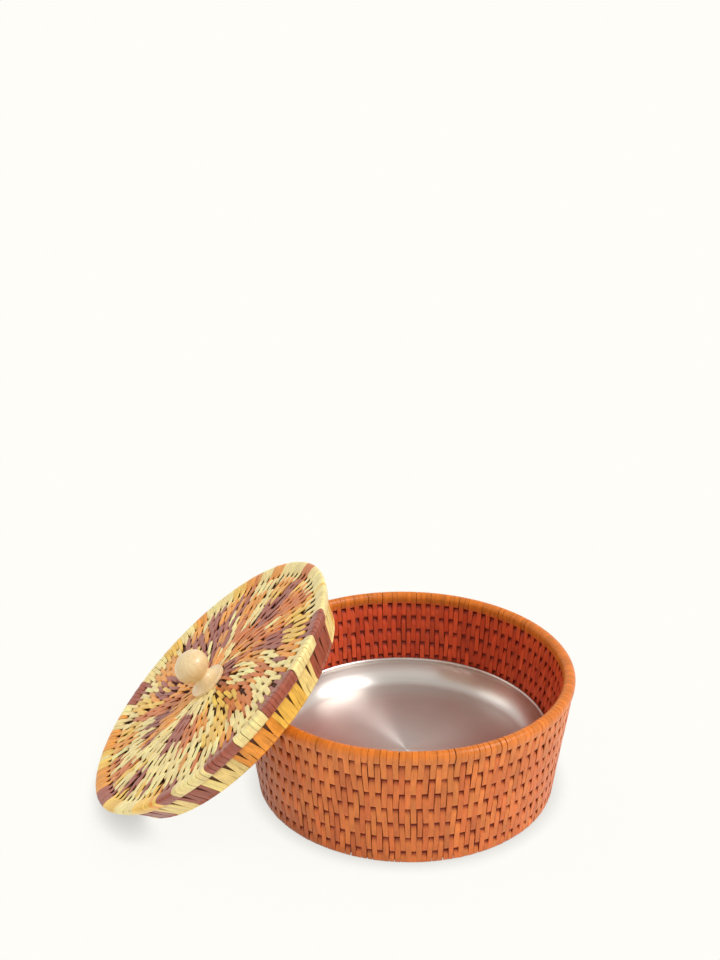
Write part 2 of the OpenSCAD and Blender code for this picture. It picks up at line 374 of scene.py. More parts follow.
# Spun stainless steel: turned on a lathe, so the brushing runs in circles and the shine fans out in wedges
# from the middle.
def steelMaterial(name):
    material, tree, shader = newMaterial(name)
    uv = addNode(tree, "UVMap", {"uv_map": "turned"})
    # brushing rings, about 0.45 mm apart: the real ones are finer and wouldn't show
    rings = stretchedNoise(tree, uv.outputs["UV"], (3.0, 220.0, 1.0), {"Detail": 4.0, "Roughness": 0.7})
    tangent = addNode(tree, "Tangent", {"direction_type": "UV_MAP", "uv_map": "turned"})
    # the rotation is a quarter turn: the shine spreads across the brushing, so it fans out from the middle
    fillNode(tree, shader, {"Metallic": 1.0, "Anisotropic": 0.9, "Anisotropic Rotation": 0.25},
             {"Base Color": mixColours(tree, rings, toLinear("#CBC3BC"), toLinear("#E6E1DC")),
              "Roughness": mapSpan(tree, rings, noiseSpan, (0.28, 0.36)),
              "Tangent": tangent.outputs["Tangent"]})
    return material


# Turned beech under clear satin varnish: fine straight grain along the axis and short darker flecks.
def beechMaterial(name):
    material, tree, shader = newMaterial(name)
    place = addNode(tree, "Attribute", {"attribute_name": "turnedPos"}).outputs["Vector"]
    # grain lines about 1.3 mm apart; flecks 0.5 mm by 3 mm
    grain = stretchedNoise(tree, place, (0.75, 0.35, 0.07), {"Detail": 4.0, "Distortion": 0.4})
    fleck = stretchedNoise(tree, place, (2.2, 2.2, 0.33), {"Detail": 2.0})
    tone = mixColours(tree, mapSpan(tree, grain, (0.35, 0.68), (0.0, 1.0)), toLinear("#EFD6A4"),
                      toLinear("#E8C590"))
    final = addNode(tree, "VectorMath", {"operation": "SCALE"},
                    links={0: tone, "Scale": mapSpan(tree, fleck, (0.55, 0.72), (1.0, 0.95))})
    fillNode(tree, shader, {"Roughness": 0.42, "Coat Weight": 0.5, "Coat Roughness": 0.18},
             {"Base Color": final.outputs["Vector"]})
    return material


wallCane = caneMaterial("terracotta rattan peel", 0.40, 0.06, 0.05)
lidCane = caneMaterial("varnished straw rattan peel", 0.38, 0.22, 0.05)
darkCore = coreMaterial("dyed round cane core", "#8A2C14")
strawCore = coreMaterial("natural cane core", "#6B3D22")
steel = steelMaterial("spun stainless steel")
beech = beechMaterial("turned beech")
print("materials made")


wall = dict(
    columns=184,            # upright strips around the wall
    insidePitch=10.2,       # height of a row on the inside
    insideRows=8,
    notch=2.1,              # height of the dark hole where a strip tucks under
    thick=0.9,              # strip thickness
    bed=0.10,               # how far the strips lie below the wall's own surface
    gap=0.06,               # half of the slit between two strips
    dive=1.5,               # how deep a strip's upper end goes in
    diveLong=4.2,           # over what length it goes in
    narrow=0.12,            # share by which it gets narrower there, and over what length
    narrowLong=3.5,
    shade=0.9,              # how far painted shade darkens it there, and over what length
    shadeLong=3.6,
    foot=0.22,              # how deep a strip's lower end goes in, and over what length
    footLong=0.9,
    wander=0.9,             # how far the columns stray sideways
    outsideTone="#E6843F",
    outsideOther="#D25F30",
    insideTone="#E2592C",
    insideOther="#C84120",
)
# standard deviations of the strips' strays in mm: of both ends' heights, of the depth, of the place
# sideways, of the lean (from end to end) and of the half width
wallStray = dict(low=0.25, high=0.15, depth=0.07, side=0.12, lean=0.22, width=0.08)
rowsOutside = np.array(hoopTops)   # heights of the rows of holes, from the heel up
rowsInside = hoopTops[-1] - wall["insidePitch"] * np.arange(wall["insideRows"] - 1, -1, -1)
wallAngles = evenAngles(wall["columns"])
wallColour = np.array(toLinear(wall["outsideTone"]))
insideColour = np.array(toLinear(wall["insideTone"]))


# sideways stray in mm of the columns at angle t and height z: a few slow waves
def columnStray(t, z, amount):
    return amount * (0.55 * np.sin(3 * t + 0.045 * z) + 0.35 * np.sin(11 * t - 0.09 * z + 1.3)
                     + 0.25 * np.sin(23 * t + 0.13 * z + 0.4))


# how deep a strip goes in at a height above its lower end
def footAt(height):
    return (1 - smooth(height / wall["footLong"])) * wall["foot"]


# Upright strips on a cone of radius radiusAt(z); sign is +1 outside and -1 inside.
# In each column a strip runs between two holes two rows apart, and next columns are one row off.
def wallStrips(name, rowZ, radiusAt, sign, lowest, tones, seed):
    rng = np.random.default_rng(seed)
    # rings closer together at both ends, where the strip bends
    s = np.concatenate([[0, 0.03], np.linspace(0.12, 0.78, 5), [0.87, 0.94, 1.0]])[None, :]
    parts = []
    for parity in (0, 1):
        own = wallAngles[parity::2][:, None]
        n = len(own)
        stops = rowZ[::-1][parity::2]
        for high, low in zip(stops, [*stops[1:], lowest]):
            if high - low < 2:
                continue
            tucked = low > lowest + 0.01   # the lowest strips run down to the edge, and the others to a hole
            z0 = low + wall["notch"] / 2 * tucked + rng.normal(0, wallStray["low"], (n, 1)) * tucked
            z1 = high - 0.2 * wall["notch"] + rng.normal(0, wallStray["high"], (n, 1))
            z = z0 + (z1 - z0) * s
            dive = rising(z, z1, wall["diveLong"]) * wall["dive"]
            lift = rng.normal(0, wallStray["depth"], (n, 1))
            inset = wall["thick"] / 2 + wall["bed"] + dive + footAt(z - z0) + lift
            radius = radiusAt(z) - sign * inset
            shift = rng.normal(0, wallStray["side"], (n, 1))
            slant = rng.normal(0, wallStray["lean"], (n, 1))
            t = own + (columnStray(own, z, wall["wander"]) + shift + slant * (s - 0.5)) / radius
            slope = np.gradient(radius, axis=1) / np.gradient(z, axis=1)
            pitch = 2 * math.pi * radiusAt(z) / wall["columns"]
            narrow = 1 - wall["narrow"] * rising(z, z1, wall["narrowLong"], 0)
            parts.append(dict(
                centre=pointsAt(radius, t, z),
                side=pointsAt(1, t + math.pi / 2, 0 * t),
                up=unit(pointsAt(1, t, -slope) * sign),
                width=(pitch / 2 - wall["gap"] + rng.normal(0, wallStray["width"], (n, 1))) * narrow,
                # painted shade towards the upper end, where the strip dives into its hole
                tuckShade=rising(z, z1, wall["shadeLong"]) * wall["shade"]))
    centre, side, up, width, tuckShade = joined(parts)
    colour = strayColours(rng, len(centre), *tones)
    return stripPiece(name, centre, side, up, width, np.full_like(width, wall["thick"] / 2), colour,
                      tuckShade, wallCane, seed + 1)


rimWrap = dict(
    tone="#DE781E",
    gap=0.02,               # half of the slit between two strips, which lie tight here
    blend=7,                # height below the rim's middle over which the wall's slope turns into it
    sideRings=9,
    topRings=15,
    spliceAt=-97,           # where the wrap's end laps over its start, in degrees round from +X
    spliceHigh=0.5,
    spliceLong=0.25,        # radians over which the lap fades out
    crestOutside=84.5,      # heights from which the rim's own dye takes over, and over how much
    crestInside=80,
    crestFade=4.5,
)


# the lap's lift at angle t: a step that fades out evenly
def spliceLift(t):
    away = (math.radians(rimWrap["spliceAt"]) - t + math.pi) % (2 * math.pi) - math.pi
    lap = rimWrap["spliceLong"]
    return rimWrap["spliceHigh"] * np.where((away > 0) & (away < lap), 1 - away / lap, 0)


# radius of the rim strips' middle line on a side, from the wall's cone to the rim's flank
def flankR(z, coneR, edge):
    return coneR + (edge - coneR) * rising(z, rollZ, rimWrap["blend"], 0)


# Strips that wrap over the rim, from the first hole outside to the first hole inside.
# The path is: up the outer cone, half a circle over the rim, down the inner cone.
def rimStrips(name, seed):
    rng = np.random.default_rng(seed)
    half = wall["thick"] / 2
    bendR = rollR - half - 0.05
    along = np.linspace(0, 1, rimWrap["sideRings"])[None, :]
    bend = np.linspace(0, math.pi, rimWrap["topRings"])[None, 1:-1]
    drift = np.concatenate([along * 0, bend / math.pi, along * 0 + 1], 1)   # 0 outside, 1 inside
    parts = []
    for parity in (0, 1):
        own = wallAngles[parity::2][:, None]
        n = len(own)
        startZ = rowsOutside[::-1][parity] + wall["notch"] / 2 + rng.normal(0, wallStray["low"], (n, 1))
        endZ = rowsInside[::-1][parity] + wall["notch"] / 2 + rng.normal(0, wallStray["low"], (n, 1))
        outZ = startZ + (rollZ - startZ) * along
        inZ = rollZ + (endZ - rollZ) * along
        outR = flankR(outZ, outerR(outZ) - half - wall["bed"], rollC + bendR)
        inR = flankR(inZ, innerR(inZ) + half + wall["bed"], rollC - bendR)
        r = np.concatenate([outR, rollC + bendR * np.cos(bend) + 0 * startZ, inR], 1)
        z = np.concatenate([outZ, rollZ + bendR * np.sin(bend) + 0 * startZ, inZ], 1)
        stray = columnStray(own, z, wall["wander"]) * (1 - 0.5 * smooth((z - 80) / 6))
        t = own + (stray + rng.normal(0, 0.1, (n, 1))) / r
        dr, dz = np.gradient(r, axis=1), np.gradient(z, axis=1)
        upR, upZ = dz / np.hypot(dz, dr), -dr / np.hypot(dz, dr)
        splice = spliceLift(own) * np.sin(np.pi * drift)
        foot = np.concatenate([footAt(outZ - startZ), 0 * bend + 0 * startZ, footAt(inZ - endZ)], 1)
        r = r + upR * splice - upR * foot
        z = z + upZ * splice
        parts.append(dict(
            centre=pointsAt(r, t, z),
            side=pointsAt(1, t + math.pi / 2, 0 * t),
            up=unit(pointsAt(upR, t, upZ)),
            width=math.pi * r / wall["columns"] - rimWrap["gap"] + rng.normal(0, 0.04, (n, 1))))
    centre, side, up, width = joined(parts)
    # dye along a strip: the wall's outside, then the bright rim, then the wall's inside
    bright = np.exp(rng.normal(0, 0.05, (len(centre), 1, 1)))
    crestZ = np.where(drift < 0.35, rimWrap["crestOutside"], rimWrap["crestInside"])
    crest = smooth((centre[..., 2] - crestZ) / rimWrap["crestFade"])[..., None]
    below = np.where(drift[..., None] < 0.5, wallColour, insideColour)
    rimColour = np.array(toLinear(rimWrap["tone"]))
    colour = np.clip((below * (1 - crest) + rimColour * crest) * bright, 0, 1)
    return stripPiece(name, centre, side, up, width, np.full_like(width, half), colour,
                      0 * width, wallCane, seed + 1)


outsideTones = (wall["outsideTone"], wall["outsideOther"], 0.07, 0.6)
insideTones = (wall["insideTone"], wall["insideOther"], 0.10, 0.8)
outside = wallStrips("wallStripsOutside", rowsOutside, outerR, 1, 0.4, outsideTones, 11)
inside = wallStrips("wallStripsInside", rowsInside, innerR, -1, floorTop, insideTones, 21)
rim = rimStrips("rimStrips", 31)
for piece, node in ((outside, "wall_weave_outer"), (inside, "wall_weave_inner"), (rim, "rim_wrap")):
    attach(piece, "basket")
    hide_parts(node)
print("wall and rim woven")


# heights of the lid's field and hollow side, and the collar's rolled edge and top, in the lid's frame
coverZ = lidProfile("lid_top_weave")[1].max()
underZ = lidProfile("lid_lining")[1].min()
edgeR, edgeZ = lidProfile("lid_collar_edge")
edgeRoll = (edgeZ.max() - edgeZ.min()) / 2
edgeC = edgeR.max() - edgeRoll
edgeZ = edgeZ.min() + edgeRoll
collarR, collarZ = lidProfile("lid_collar_weave")
collarTopR, collarTopZ = collarR.max(), collarZ.max()

# the lid's dyes and the share of each
dyes = dict(
    cream=("#FFE69C", 0.32),
    straw=("#FCCB5E", 0.16),
    gold=("#F2A03A", 0.18),
    rust=("#D97A34", 0.15),
    plum=("#A95A45", 0.19),
)
palette = np.array([toLinear(tone) for tone, share in dyes.values()])
odds = np.array([share for tone, share in dyes.values()])

lid = dict(
    columns=186,            # strips around the rim, every other one starts a row further in
    rows=9,                 # rows of stitches between the knob and the rim
    firstRow=12.0,          # radius of the innermost row's inner ends
    widthIn=2.1,            # strip width near the knob and at the rim
    widthOut=3.5,
    thick=0.7,
    swirl=-11,              # degrees that the stitches lean from the radius
    waveEdge=6,             # how far from the rim the swirl starts, inwards
    patchWide=13,           # size of a patch of one dye, across and along the stitches
    patchLong=24,
    chance=0.08,            # share of single strips with a chance dye
    edge=12.5,              # width of the ring round the field that the rim's own strips cover
    ease=3.0,               # how far from the rim's corners those strips start to bend
    dive=1.5,               # how deep their inner ends go in, and over what length
    diveLong=3.6,
    rise=10,                # length over which they come up from the field to the rim's top
    hem=5,                  # how far they reach in under the rim
    fill=0.97,              # their width as a share of the pitch
    narrow=0.42,            # share by which they get narrower at the inner end
)
# the field's stitches
stitch = dict(
    # shares of its length at which a stitch has points: close together where it bends
    rings=(0, 0.04, 0.09, 0.14, 0.3, 0.5, 0.7, 0.86, 0.92, 0.96, 1.0),
    innerShort=0.8,         # how far each end stays short of its row, and how much it strays
    innerStray=0.9,
    outerShort=0.1,
    outerStray=0.8,
    turnStray=0.12,         # sideways stray of the inner end, as a share of half the pitch
    riseIn=0.13,            # shares of the length over which the ends come up
    riseOut=0.08,
    dive=1.2,               # how deep the ends go in
    fill=1.22,              # width as a share of the pitch: neighbours overlap
)


# evens out angles round a circle: each moves a quarter of the way to the middle of its neighbours, 5 times
def evenOut(angles):
    for _ in range(5):
        before, after = np.roll(angles, 1), np.roll(angles, -1)
        before[0] -= 2 * math.pi
        after[-1] += 2 * math.pi
        angles = angles + 0.25 * (before + after - 2 * angles)
    return angles


# middles between neighbouring angles, with some left out so that count stay
def gapAngles(angles, count, rng):
    after = np.roll(angles, -1)
    after[-1] += 2 * math.pi
    middles = (angles + after) / 2
    lost = len(middles) - count
    if lost < 1:
        return middles
    places = (np.arange(lost) + rng.uniform(0.1, 0.9, lost)) * len(middles) / lost
    return np.delete(middles, np.unique(places.astype(int)))


# angle added at radius r by the swirl: tan(lean) ln(r / R), and a slow sideways wave
def swirlAt(t, r):
    share = r / (lidR - lid["waveEdge"])
    turned = math.tan(math.radians(lid["swirl"])) * np.log(share)
    return turned + 0.1 * np.sin(2 * t + 0.045 * r + 1.0) * (1 - share)


# dye of each strip from its place: that of the nearest of many random patch centres, where "near" is
# (along / long)^2 + (across / wide)^2, seen along and across the strip's radius
def patchDyes(rng, t, r):
    count = int(math.pi * lidR ** 2 / (lid["patchWide"] * lid["patchLong"]))
    centreR = np.sqrt(rng.random(count)) * (lidR + 6)
    centreT = rng.random(count) * 2 * math.pi
    label = rng.choice(len(odds), count, p=odds / odds.sum())
    along = r[:, None] - centreR * np.cos(t[:, None] - centreT)
    across = centreR * np.sin(t[:, None] - centreT)
    far = (along / lid["patchLong"]) ** 2 + (across / lid["patchWide"]) ** 2
    return label[np.argmin(far + rng.normal(0, 0.07, far.shape), axis=1)]


# linear colour of each strip: its dye, a little lighter or darker, and a few strips of a chance dye
def dyeColours(rng, label, light=0.07):
    changed = rng.random(len(label)) < lid["chance"]
    label = np.where(changed, rng.choice(len(odds), len(label), p=odds / odds.sum()), label)
    return np.clip(palette[label] * np.exp(rng.normal(0, light, len(label)))[:, None], 0, 1)


# Runs of one dye round a ring: each run is 4 to 9 strips long
def runDyes(rng, count, table):
    label = np.empty(count, int)
    start, last = 0, -1
    while start < count:
        size = rng.integers(4, 10)
        pick = rng.choice(len(table), p=table / table.sum())
        while pick == last:
            pick = rng.choice(len(table), p=table / table.sum())
        label[start:start + size] = pick
        start, last = start + size, pick
    return label


# frames of a path: side = outward x along, up = along x side
def framesAlong(centre, outward):
    along = unit(np.gradient(centre, axis=1))
    side = unit(np.cross(outward, along))
    return side, unit(np.cross(along, side))


lidRng = np.random.default_rng(51)
rimAngles = evenAngles(lid["columns"])


# Stitches of a round woven face, row by row from the outside inwards. A stitch spans two rows and the
# stitches of the next row start in the gaps between them. facing is +1 for a face that looks up.
def discStitches(name, rng, face, angles, dye, material, seed, place=None):
    s = np.array(stitch["rings"])[None, :]
    rows, counts = face["rowR"], face["counts"]
    last = len(rows) - 1
    inner = evenOut(angles)
    parts = []
    for i in range(face["top"], -1, -1):
        below, above = max(i - 1, 0), min(i + 1, last)
        outer = gapAngles(inner, counts[i], rng)
        n = len(outer)
        inner = evenOut(outer) + rng.normal(0, stitch["turnStray"], n) * math.pi / n
        rIn = rows[below] + stitch["innerShort"] + rng.normal(0, stitch["innerStray"], (n, 1))
        rOut = rows[above] - stitch["outerShort"] + rng.normal(0, stitch["outerStray"], (n, 1))
        rOut = np.minimum(rOut, rows[last])   # none sticks out past the face
        r = rIn + (rOut - rIn) * s
        t = inner[:, None] + (outer - inner)[:, None] * smooth(s)
        parts.append(dict(
            r=r, t=t + swirlAt(t, r), s=s + 0 * r,
            pitch=2 * math.pi * r / (counts[i] + np.where(s < 0.5, counts[below], counts[above]))))
    r, t, s, pitch = joined(parts)
    n = len(r)
    arch = smooth(s / stitch["riseIn"]) * smooth((1 - s) / stitch["riseOut"])
    sink = stitch["dive"] * (1 - arch) + face["bulge"] * (1 - np.sin(math.pi * s))
    z = face["crest"] - face["facing"] * sink + rng.normal(0, face["stray"], (n, 1))
    centre = pointsAt(r, t, z)
    side, up = framesAlong(centre, np.array([0, 0, face["facing"]]))
    # the inner end is narrowed to 70 percent and the outer one to 90
    ends = (0.7 + 0.3 * smooth(s / 0.3)) * (0.9 + 0.1 * smooth((1 - s) / 0.1))
    width = (pitch / 2 * stitch["fill"]) * ends * (1 + rng.normal(0, 0.06, (n, 1)))
    # the value after the colours is painted shade, 0.85 at most, where the stitch's ends go in
    return stripPiece(name, centre, side, up, width, np.full_like(z, lid["thick"] / 2),
                      dye(rng, t[:, 5], r[:, 5]), (1 - arch) * 0.85, material, seed, place)


# rows between two radii with a number of stitches that fits each radius
def rowsBetween(first, last, rows):
    radii = np.linspace(first, last, rows + 1)
    width = lid["widthIn"] + (lid["widthOut"] - lid["widthIn"]) * radii / lidR
    return dict(rowR=radii, counts=np.round(math.pi * radii / width).astype(int))


# eased corner between three points: P - d1 T (1 - u)^2 + d2 T u^2, with d1 and d2 the directions
def easedCorner(before, corner, after, steps):
    before, corner, after = (np.array(point) for point in (before, corner, after))
    u = np.linspace(0, 1, steps)[:, None]
    return corner + lid["ease"] * (unit(after - corner) * u ** 2 - unit(corner - before) * (1 - u) ** 2)


# Strips that run out of the field, turn over the rim, go down its slanted side and tuck in under it
def rimStitches():
    rng = lidRng
    half = lid["thick"] / 2
    inset = half * math.hypot(1, sideSlope)
    topCorner = (lowR + sideSlope * 2 * rimHalf - inset, rimHalf - half)
    lowCorner = (lowR - inset, half - rimHalf)
    end = (lowR - lid["hem"], half - rimHalf)
    over = np.concatenate([easedCorner((lidR - lid["edge"], topCorner[1]), topCorner, lowCorner, 8),
                           easedCorner(topCorner, lowCorner, end, 6), [end]])
    flat = np.linspace(0, 1, 10)[:-1]
    flatEnd = over[0, 0]
    parts = []
    for parity, startR in ((0, rowR[-1] + 0.3), (1, rowR[-2] + 0.8)):
        own = rimAngles[parity::2]
        n = len(own)
        rIn = startR + rng.normal(0, 0.5, (n, 1))
        rFlat = rIn + (flatEnd - rIn) * flat
        rise = rising(rFlat, flatEnd, lid["rise"], 0.5)
        dive = 1 - smooth((rFlat - rIn) / lid["diveLong"])
        fieldZ = coverZ - half + 0.3
        zFlat = fieldZ + (topCorner[1] - fieldZ) * rise - lid["dive"] * dive
        r = np.concatenate([rFlat, np.broadcast_to(over[:, 0], (n, len(over)))], 1)
        z = np.concatenate([zFlat, np.broadcast_to(over[:, 1], (n, len(over)))], 1)
        lift = rng.normal(0, 0.03, (n, 1))
        t = own[:, None] + 0 * r
        bunch = rng.normal(0, 0.10, (n, 1)) / lidR   # sideways stray as an angle
        swirl = swirlAt(t, np.minimum(r, lidR - lid["waveEdge"]))
        parts.append(dict(r=r + lift, z=z + lift, t=t + bunch + swirl,
                          dive=np.concatenate([dive, np.zeros((n, len(over)))], 1), own=own))
    r, z, t, dive, own = joined(parts)
    centre = pointsAt(r, t, z)
    dr, dz = np.gradient(r, axis=1), np.gradient(z, axis=1)
    side, up = framesAlong(centre, pointsAt(-dz, t, dr))
    pitch = 2 * math.pi * r / lid["columns"]
    width = (pitch / 2 * lid["fill"] + rng.normal(0, 0.04, (len(r), 1))) * (1 - lid["narrow"] * dive)
    place = np.round(own / (2 * math.pi) * lid["columns"] - 0.5).astype(int)
    pale = odds * np.array([1.3, 1.3, 1.5, 0.6, 0.6])   # the rim has more of the three light dyes
    colour = dyeColours(rng, runDyes(rng, lid["columns"], pale)[place % lid["columns"]], 0.05)
    # painted shade, 0.8 at most, where the strips' inner ends dive into the field
    return stripPiece("lidRimStitches", centre, side, up, width, np.full_like(z, half), colour,
                      dive * 0.8, lidCane, 53, toWorld)


def fieldDye(rng, t, r):
    return dyeColours(rng, patchDyes(rng, t, r))


topFace = dict(rowsBetween(lid["firstRow"], lidR - lid["edge"], lid["rows"]), top=lid["rows"] - 1, facing=1,
               crest=coverZ + 0.25, bulge=0.35, stray=0.15)
rowR = topFace["rowR"]
field = discStitches("lidFieldStitches", lidRng, topFace, rimAngles[1::2], fieldDye, lidCane, 52, toWorld)
lidRim = rimStitches()
for piece, node in ((field, "lid_top_weave"), (lidRim, "lid_rim_wrap")):
    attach(piece, "lid")
    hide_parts(node)
print("lid top and rim stitched")


# a dye that only strays around one tone
def plainDye(*tones):
    return lambda rng, t, r: strayColours(rng, len(r), *tones)


strawDye = plainDye("#EBCB8A", "#D9AE6C", 0.08, 0.8)
terracottaDye = plainDye(wall["outsideTone"], wall["outsideOther"], 0.07, 0.8)
rustDye = plainDye(wall["insideTone"], wall["insideOther"], 0.10, 0.8)

# plain woven faces: the lid's hollow side, the basket's underside and its floor under the dish
lidUnder = dict(rowsBetween(7.4, collarTopR - 2 * edgeRoll - 0.6, 9), top=9, facing=-1,
                crest=underZ + lid["thick"] / 2 + 0.05, bulge=0.3, stray=0.04)
basketUnder = dict(rowsBetween(5.0, outerR(0) - 1.05, 9), top=9, facing=-1,
                   crest=lid["thick"] / 2 + 0.15, bulge=0.3, stray=0.04)
basketFloor = dict(rowsBetween(5.0, innerR(floorTop) - 1.2, 9), top=9, facing=1,
                   crest=floorTop - lid["thick"] / 2 - 0.05, bulge=0.3, stray=0.04)
plainFaces = (
    ("lidUnderStitches", lidUnder, strawDye, "lid_lining", "lid", lidCane, "lid_lining_cane", toWorld),
    ("basketUnderStitches", basketUnder, terracottaDye, "base_weave", "basket", wallCane, "wall_cane", None),
    ("basketFloorStitches", basketFloor, rustDye, "base_lining", "basket", wallCane, "inner_cane", None))
for name, face, dye, node, body, cane, slot, place in plainFaces:
    angles = evenAngles(face["counts"][-1])
    piece = discStitches(name, np.random.default_rng(71), face, angles, dye, cane, 72, place)
    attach(piece, body)
    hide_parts(node)
print("plain faces stitched")


collar = dict(
    groups=54,              # bunches of three strips
    thick=0.8,
    bunch=0.32,             # how far the upper ends of a bunch pull together
    gapDepth=0.8,           # share of the height over which the bunches part
    hidden=1.2,             # how far the strips reach up into the rim
    shade=0.35,             # how far painted shade darkens the strips under the rim, and over what share of the height
    shadeLong=0.25,
    fill=0.975,             # width as a share of the pitch, and how much less where a bunch pulls together
    narrow=0.09,
)


# Strips of the collar: from under the rim down the outside, round the lower edge and up the inside.
# The upper ends of each three strips are pulled together, by bunch times the share that is left of the gap.
def collarStitches():
    rng = np.random.default_rng(61)
    count = 3 * collar["groups"]
    own = evenAngles(count)
    member = np.arange(count) % 3 - 1
    down = np.linspace(0, 1, 12)
    half = collar["thick"] / 2
    # outer face of the collar's cone, from its top to the height of the edge's middle
    outR = collarTopR + (edgeC + edgeRoll - collarTopR) * down - half
    top = collarTopZ + collar["hidden"]
    outZ = top + (edgeZ - top) * down
    bend = np.radians(np.linspace(-15, -165, 9))
    bendR = edgeC + (edgeRoll - half + 0.1) * np.cos(bend)
    bendZ = edgeZ + (edgeRoll - half + 0.1) * np.sin(bend)
    inR = (outR - 2 * (edgeRoll - half))[::-1]

    # values along a whole strip from those of a side and those round the edge
    def whole(side, low):
        return np.concatenate([side, low + 0 * bend, side[::-1]])

    r = np.concatenate([outR, bendR, inR]) + rng.normal(0, 0.07, (count, 1))
    z = whole(outZ, bendZ) + np.zeros((count, 1))
    part = whole(np.clip(1 - down / collar["gapDepth"], 0, 1), 0)
    pitch = 2 * math.pi * r / count
    pull = -member[:, None] * collar["bunch"] * part * pitch * (1 + rng.normal(0, 0.15, (count, 1)))
    t = own[:, None] + pull / r + rng.normal(0, 0.0012, (count, 1))
    centre = pointsAt(r, t, z)
    # the middle line between outside and inside, from which the strips face away
    midTop = (outR[0] + inR[-1]) / 2
    midR = midTop + (edgeC - midTop) * whole(down, 1)
    side, up = framesAlong(centre, centre - pointsAt(midR, t, whole(outZ, edgeZ) + 0 * t))
    width = pitch / 2 * collar["fill"] * (1 - collar["narrow"] * part) + rng.normal(0, 0.04, (count, 1))
    warm = odds * np.array([0.75, 1.2, 1.6, 1.3, 0.9])   # the collar has more of the warm dyes
    colour = dyeColours(rng, runDyes(rng, count, warm), 0.06) * np.array([1.0, 0.93, 0.78])
    # painted shade at the collar's top, under the overhanging rim
    shade = whole(collar["shade"] * (1 - smooth(down / collar["shadeLong"])), 0) + 0 * r
    return stripPiece("collarStitches", centre, side, up, width, np.full_like(z, half), colour,
                      shade, lidCane, 62, toWorld)


collarPiece = collarStitches()
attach(collarPiece, "lid")
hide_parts("lid_collar_weave", "lid_collar_edge", "lid_collar_lining")
print("collar stitched")


# Surface of revolution with shared corners: point (j, i) = (r_i cos a_j, r_i sin a_j, z_i)
def turnedPiece(name, r, z, material, around=128, place=None):
    steps = len(r)
    i = np.arange(steps - 1)[None, :]
    j = np.arange(around)[:, None]
    nxt = (j + 1) % around
    a = 2 * math.pi * j / around
    quads = np.stack([j * steps + i, nxt * steps + i, nxt * steps + i + 1, j * steps + i + 1], -1)
    flat = pointsAt(r, a, z + 0 * a).reshape(-1, 3)
    piece = meshObject(name, flat, quads.ravel(), np.full(quads.size // 4, 4), material, place)
    pointAttribute(piece, "turnedPos", "FLOAT_VECTOR", flat)
    return piece


# Painted shade: a dark oval ring midway in the wall, from the top hoop to the rim's hoop, which the real
# basket doesn't have, so that no light comes through the uppermost holes and they look dark. Its section is
# r = c + w cos a, z = m + h sin a, narrow enough to clear the strips' ends on both sides.
def darkShadeRing():
    low = hoopTops[-1]
    high = boxMm("rim_hoop")[0][2]
    around = np.linspace(0, 2 * math.pi, 17)   # 16 corners, the last on the first
    midZ = (low + high) / 2
    midR = (outerR(midZ) + innerR(midZ)) / 2
    fillerHalf = wallT / 2 - 1.7 * wall["dive"]
    r = midR + fillerHalf * np.cos(around)
    z = midZ + ((high - low) / 2 + 0.2) * np.sin(around)
    return turnedPiece("rimDarkShadeRing", r, z, darkCore)


# a ring of painted shade: dark, so that the uppermost holes show no light
filler = darkShadeRing()
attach(filler, "basket")
print("filler ring made")


# smooths a profile: each edge between two corners keeps only its middle half, and both ends stay
def cutCorners(r, z):
    corners = np.stack([r, z], axis=1)
    near = 0.75 * corners[:-1] + 0.25 * corners[1:]
    far = 0.25 * corners[:-1] + 0.75 * corners[1:]
    middle = np.stack([near, far], axis=1).reshape(-1, 2)
    return np.concatenate([corners[:1], middle, corners[-1:]]).T


# the knob's height, its ball, its foot and its neck, which is at 0.36 of the height
knobRs, knobZs = lidProfile("knob")
knobLow = knobZs.min()
above = knobZs - knobLow
knobH = above.max()
ballR = knobRs[above > 0.4 * knobH].max()
footRing = knobRs[above < 0.1].max()
neckR = min(knobRs[(knobRs > 4) & (np.abs(above - 0.36 * knobH) < 1.6)])


# Knob: a flared foot, a neck and a slightly flattened ball, turned in one piece. The flare is a quarter of
# an ellipse, and the ball is another ellipse from the neck's radius up.
def knobPiece():
    ballH = ballR * 0.84   # the ball's half height
    ballZ = knobH - ballH
    tilt = math.asin(neckR / ballR)
    ring = np.linspace(tilt, math.pi, 40)
    neckZ = ballZ - ballH * math.cos(tilt)
    flare = np.linspace(0, math.pi / 2, 24)
    footH = knobH * 0.09
    r = np.concatenate([[0.01, footRing - 0.5, footRing - 0.1, footRing, footRing],
                        footRing - (footRing - neckR) * np.sin(flare)[1:-1], ballR * np.sin(ring)])
    z = np.concatenate([[0.05, 0.05, 0.15, 0.6, footH],
                        neckZ - (neckZ - footH) * np.cos(flare)[1:-1], ballZ - ballH * np.cos(ring)])
    r, z = cutCorners(r, z)
    return turnedPiece("turnedKnob", r, z + knobLow, beech, place=toWorld)


knob = knobPiece()
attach(knob, "lid")
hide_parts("knob")


dishSizes = dict(
    sheet=0.8,              # thickness
    bead=1.3,               # radius of the rolled bead
    steep=84,               # degrees between floor and side at the side's top
    around=256,             # corners round the dish
)


